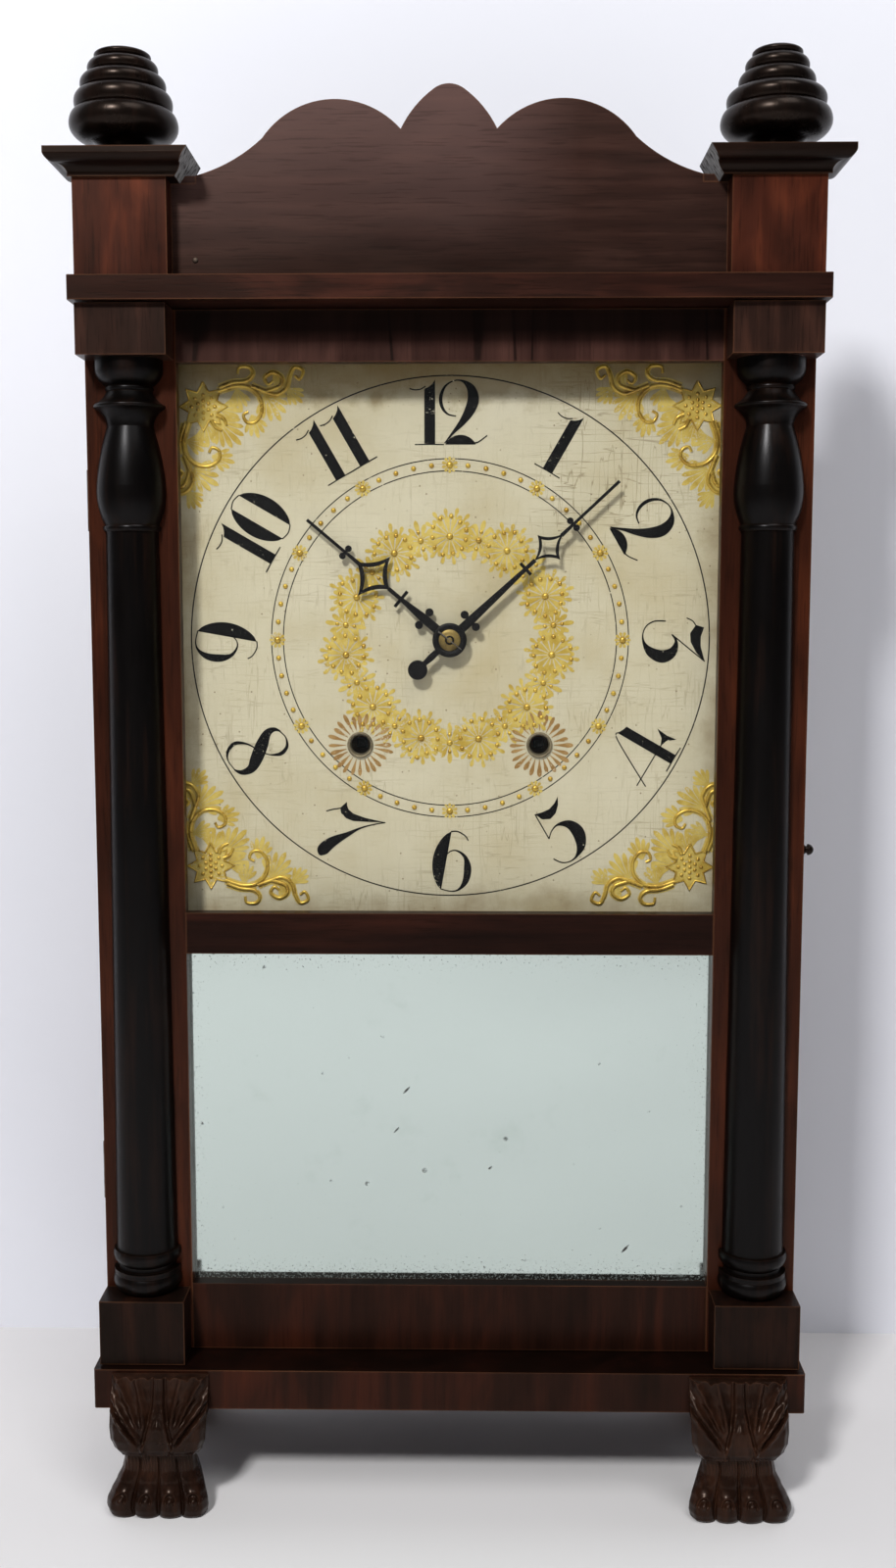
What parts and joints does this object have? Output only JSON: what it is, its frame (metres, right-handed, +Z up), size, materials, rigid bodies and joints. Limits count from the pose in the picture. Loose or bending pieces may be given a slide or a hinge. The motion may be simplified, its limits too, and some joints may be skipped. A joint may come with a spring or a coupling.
{
  "type": "shelf clock",
  "caption": "Weight-driven shelf clock with scrolled splat, chimney finials, half columns on the door, painted dial, mirror and carved paw feet.",
  "frame": {"origin": "on the floor under the middle of the clock's width and depth", "axes": "+Z up, +X to the viewer's right, -Y towards the viewer"},
  "size_m": [0.449, 0.1522, 0.8581],
  "materials": {
    "mahogany": "french polished veneer",
    "flame_mahogany": "french polished flame veneer",
    "ebonised_wood": "satin black stain",
    "dark_turned_wood": "dark gloss stain",
    "plain_pine": "bare, oxidised",
    "plate_oak": "planed oak",
    "cherry": "cut and turned cherry",
    "painted_dial": "ivory paint with gilt relief",
    "clear_glass": "old clear glass",
    "old_mirror": "aged silvering",
    "brass": "worn polish",
    "bell_iron": "cast",
    "weight_iron": "cast, rusted brown",
    "iron_wire": "drawn iron",
    "blackened_hands": "black",
    "cord": "twisted line"
  },
  "bodies": {
    "case": {"left_side_board": "mahogany", "right_side_board": "mahogany", "back_board": "plain_pine", "base_board": "mahogany", "cornice_board": "mahogany", "splat": "mahogany", "left_chimney_block": "flame_mahogany", "right_chimney_block": "flame_mahogany", "left_cap": "flame_mahogany", "right_cap": "flame_mahogany", "left_finial": "dark_turned_wood", "right_finial": "dark_turned_wood", "left_front_foot": "dark_turned_wood", "right_front_foot": "dark_turned_wood", "rear_feet": "plain_pine", "dial": "painted_dial", "front_plate": "plate_oak", "back_plate": "plate_oak", "bell": "bell_iron", "bell_stand": "iron_wire", "case_hinge_leaves": "iron_wire", "lead_cords": "cord", "time_fall_cord": "cord", "strike_fall_cord": "cord"},
    "door": {"left_stile": "flame_mahogany", "right_stile": "flame_mahogany", "top_rail": "mahogany", "middle_rail": "mahogany", "bottom_rail": "mahogany", "upper_glass": "clear_glass", "mirror_glass": "old_mirror", "mirror_backboard": "plain_pine", "left_column": "ebonised_wood", "right_column": "ebonised_wood", "capital_blocks": "flame_mahogany", "base_blocks": "flame_mahogany", "door_knob": "dark_turned_wood", "door_hinge_leaves": "iron_wire"},
    "minute": {"minute_arbor": "cherry", "minute_hand": "blackened_hands"},
    "hour": {"hour_wheel": "cherry", "hour_hand": "blackened_hands"},
    "pendulum": {"pendulum_rod": "iron_wire", "pendulum_bob": "brass"},
    "minute_wheel": {"minute_wheel": "cherry"},
    "third_wheel": {"third_wheel": "cherry"},
    "escape_wheel": {"escape_wheel": "brass"},
    "verge": {"verge": "iron_wire"},
    "time_great_wheel": {"time_great_wheel": "cherry"},
    "time_drum": {"time_drum": "cherry"},
    "strike_great_wheel": {"strike_great_wheel": "cherry"},
    "strike_drum": {"strike_drum": "cherry"},
    "pin_wheel": {"pin_wheel": "cherry"},
    "strike_fly": {"strike_fly": "cherry"},
    "count_wheel": {"count_wheel": "cherry"},
    "hammer": {"hammer": "iron_wire"},
    "time_weight": {"time_weight": "weight_iron"},
    "strike_weight": {"strike_weight": "weight_iron"},
    "time_pulley": {"time_pulley": "cherry"},
    "strike_pulley": {"strike_pulley": "cherry"}
  },
  "joints": [
    {"name": "door_hinge", "type": "hinge", "parent": "case", "child": "door", "pos_m": [-0.21469, -0.01135, 0.4], "axis": [0, 0, -1], "range_deg": [0, 110]},
    {"name": "minute_turn", "type": "hinge", "parent": "case", "child": "minute", "pos_m": [0, 0.04075, 0.5255], "axis": [0, 1, 0], "continuous": true},
    {"name": "hour_turn", "type": "hinge", "parent": "case", "child": "hour", "pos_m": [0, 0.04075, 0.5255], "axis": [0, 1, 0], "continuous": true},
    {"name": "minute_wheel_turn", "type": "hinge", "parent": "case", "child": "minute_wheel", "pos_m": [0.0212, 0.04075, 0.5043], "axis": [0, 1, 0], "continuous": true},
    {"name": "third_turn", "type": "hinge", "parent": "case", "child": "third_wheel", "pos_m": [0.0262, 0.04075, 0.5598], "axis": [0, 1, 0], "continuous": true},
    {"name": "escape_turn", "type": "hinge", "parent": "case", "child": "escape_wheel", "pos_m": [0, 0.04075, 0.5895], "axis": [0, 1, 0], "continuous": true},
    {"name": "time_great_turn", "type": "hinge", "parent": "case", "child": "time_great_wheel", "pos_m": [0.0547, 0.04075, 0.4616], "axis": [0, 1, 0], "continuous": true},
    {"name": "pendulum_swing", "type": "hinge", "parent": "case", "child": "pendulum", "pos_m": [0, 0.06795, 0.6185], "axis": [0, 1, 0], "range_deg": [-4, 4]},
    {"name": "verge_rock", "type": "hinge", "parent": "case", "child": "verge", "pos_m": [0, 0.04075, 0.6185], "axis": [0, 1, 0], "range_deg": [-4, 4]},
    {"name": "pin_wheel_turn", "type": "hinge", "parent": "case", "child": "pin_wheel", "pos_m": [-0.06, 0.04075, 0.5455], "axis": [0, 1, 0], "continuous": true},
    {"name": "strike_great_turn", "type": "hinge", "parent": "case", "child": "strike_great_wheel", "pos_m": [-0.0547, 0.04075, 0.4616], "axis": [0, 1, 0], "continuous": true},
    {"name": "fly_turn", "type": "hinge", "parent": "case", "child": "strike_fly", "pos_m": [-0.096, 0.04075, 0.5455], "axis": [0, 1, 0], "continuous": true},
    {"name": "count_turn", "type": "hinge", "parent": "case", "child": "count_wheel", "pos_m": [-0.052, 0.04075, 0.5877], "axis": [0, 1, 0], "continuous": true},
    {"name": "hammer_lift", "type": "hinge", "parent": "case", "child": "hammer", "pos_m": [-0.082, 0.04075, 0.6135], "axis": [0, -1, 0], "range_deg": [0, 15]},
    {"name": "time_weight_fall", "type": "slide", "parent": "case", "child": "time_weight", "axis": [0, 0, 1], "range_m": [0, 0.438], "deforming": ["time_fall_cord"]},
    {"name": "time_drum_turn", "type": "hinge", "parent": "case", "child": "time_drum", "pos_m": [0.0547, 0.04075, 0.4616], "axis": [0, 1, 0], "continuous": true},
    {"name": "time_pulley_turn", "type": "hinge", "parent": "case", "child": "time_pulley", "pos_m": [0.14799, 0.04075, 0.703], "axis": [0, 1, 0], "continuous": true},
    {"name": "strike_weight_fall", "type": "slide", "parent": "case", "child": "strike_weight", "axis": [0, 0, 1], "range_m": [0, 0.438], "deforming": ["strike_fall_cord"]},
    {"name": "strike_drum_turn", "type": "hinge", "parent": "case", "child": "strike_drum", "pos_m": [-0.0547, 0.04075, 0.4616], "axis": [0, 1, 0], "continuous": true},
    {"name": "strike_pulley_turn", "type": "hinge", "parent": "case", "child": "strike_pulley", "pos_m": [-0.14799, 0.04075, 0.703], "axis": [0, 1, 0], "continuous": true}
  ],
  "couplings": [
    {"joint": "hour_turn", "follows": "minute_turn", "ratio": 0.083333},
    {"joint": "minute_wheel_turn", "follows": "minute_turn", "ratio": -0.33333},
    {"joint": "third_turn", "follows": "minute_turn", "ratio": -8},
    {"joint": "escape_turn", "follows": "minute_turn", "ratio": 80},
    {"joint": "time_great_turn", "follows": "minute_turn", "ratio": -0.25},
    {"joint": "verge_rock", "follows": "pendulum_swing", "ratio": 1},
    {"joint": "strike_great_turn", "follows": "pin_wheel_turn", "ratio": -0.25},
    {"joint": "fly_turn", "follows": "pin_wheel_turn", "ratio": -8},
    {"joint": "count_turn", "follows": "pin_wheel_turn", "ratio": -0.10256},
    {"joint": "time_drum_turn", "follows": "time_weight_fall", "rad_per_m": 107.53},
    {"joint": "time_pulley_turn", "follows": "time_weight_fall", "rad_per_m": -83.333},
    {"joint": "strike_drum_turn", "follows": "strike_weight_fall", "rad_per_m": -107.53},
    {"joint": "strike_pulley_turn", "follows": "strike_weight_fall", "rad_per_m": 83.333}
  ]
}
